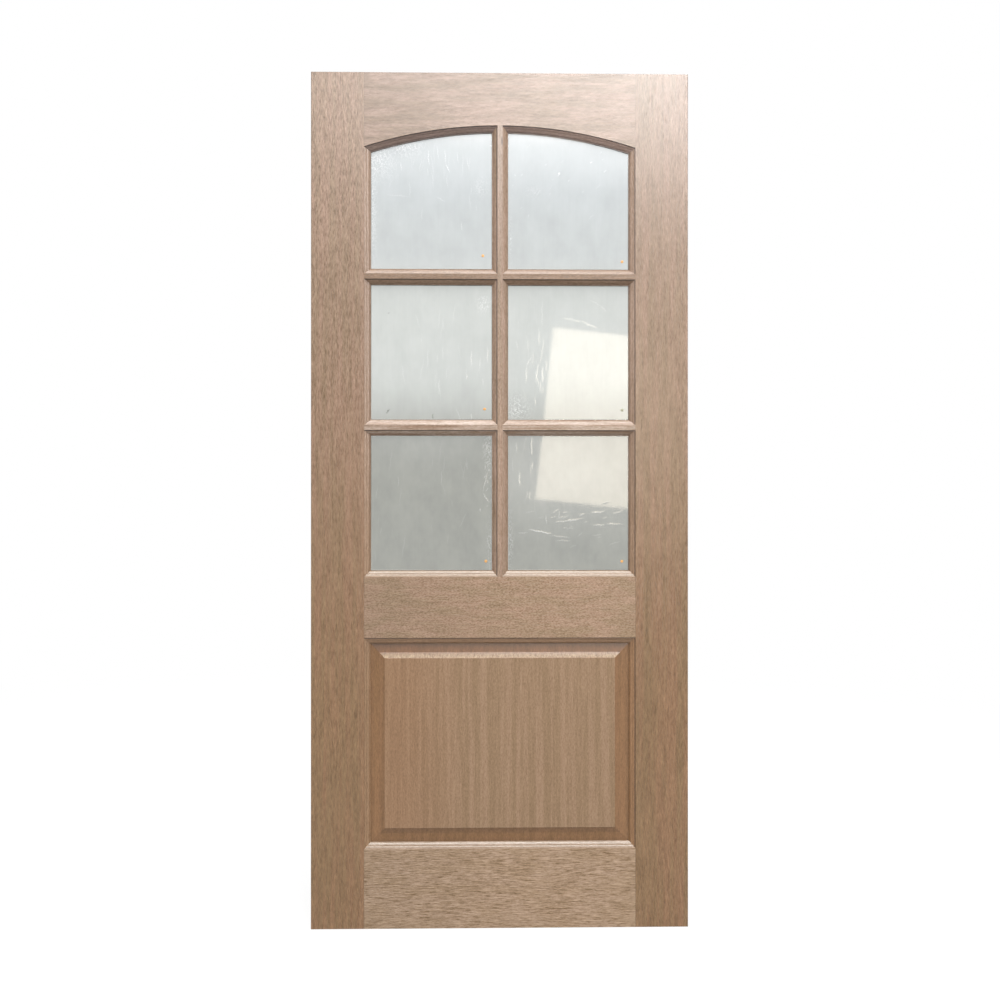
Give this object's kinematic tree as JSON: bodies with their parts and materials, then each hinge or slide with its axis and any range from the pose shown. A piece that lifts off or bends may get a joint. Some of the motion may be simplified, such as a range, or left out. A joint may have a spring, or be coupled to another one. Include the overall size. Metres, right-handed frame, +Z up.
{
  "type": "glazed door leaf",
  "caption": "Timber stile-and-rail door leaf with an arch-headed divided light over a raised panel, moulded both sides, hung on its edge.",
  "frame": {"origin": "on the hinge edge (the left edge seen from the front), half way through the thickness, at the bottom of the leaf", "axes": "+X from the hinge edge to the lock edge, +Z up, -Y out of the front, the face with the glass bedded against the mouldings"},
  "size_m": [0.9, 0.045, 2.04],
  "materials": {
    "stile_veneer": "unfinished sanded hardwood veneer, upright grain",
    "rail_veneer": "unfinished sanded hardwood veneer, level grain",
    "panel_veneer": "unfinished sanded ribbon-striped hardwood veneer, upright grain",
    "bar_wood": "unfinished sanded solid hardwood",
    "bead_wood": "unfinished sanded solid hardwood",
    "glass": "clear glass under a wrinkled protective film"
  },
  "bodies": {
    "root": {"bottom_rail": "rail_veneer", "left_stile": "stile_veneer", "lock_rail": "rail_veneer", "lower_left_bar": "bar_wood", "lower_left_bottom_bead": "bead_wood", "lower_left_left_bead": "bead_wood", "lower_left_pane": "glass", "lower_left_right_bead": "bead_wood", "lower_left_top_bead": "bead_wood", "lower_right_bar": "bar_wood", "lower_right_bottom_bead": "bead_wood", "lower_right_left_bead": "bead_wood", "lower_right_pane": "glass", "lower_right_right_bead": "bead_wood", "lower_right_top_bead": "bead_wood", "middle_left_bottom_bead": "bead_wood", "middle_left_left_bead": "bead_wood", "middle_left_pane": "glass", "middle_left_right_bead": "bead_wood", "middle_left_top_bead": "bead_wood", "middle_right_bottom_bead": "bead_wood", "middle_right_left_bead": "bead_wood", "middle_right_pane": "glass", "middle_right_right_bead": "bead_wood", "middle_right_top_bead": "bead_wood", "raised_panel": "panel_veneer", "right_stile": "stile_veneer", "top_rail": "rail_veneer", "upper_left_bar": "bar_wood", "upper_left_bottom_bead": "bead_wood", "upper_left_left_bead": "bead_wood", "upper_left_pane": "glass", "upper_left_right_bead": "bead_wood", "upper_left_top_bead": "bead_wood", "upper_right_bar": "bar_wood", "upper_right_bottom_bead": "bead_wood", "upper_right_left_bead": "bead_wood", "upper_right_pane": "glass", "upper_right_right_bead": "bead_wood", "upper_right_top_bead": "bead_wood", "vertical_bar": "bar_wood"}
  },
  "joints": []
}
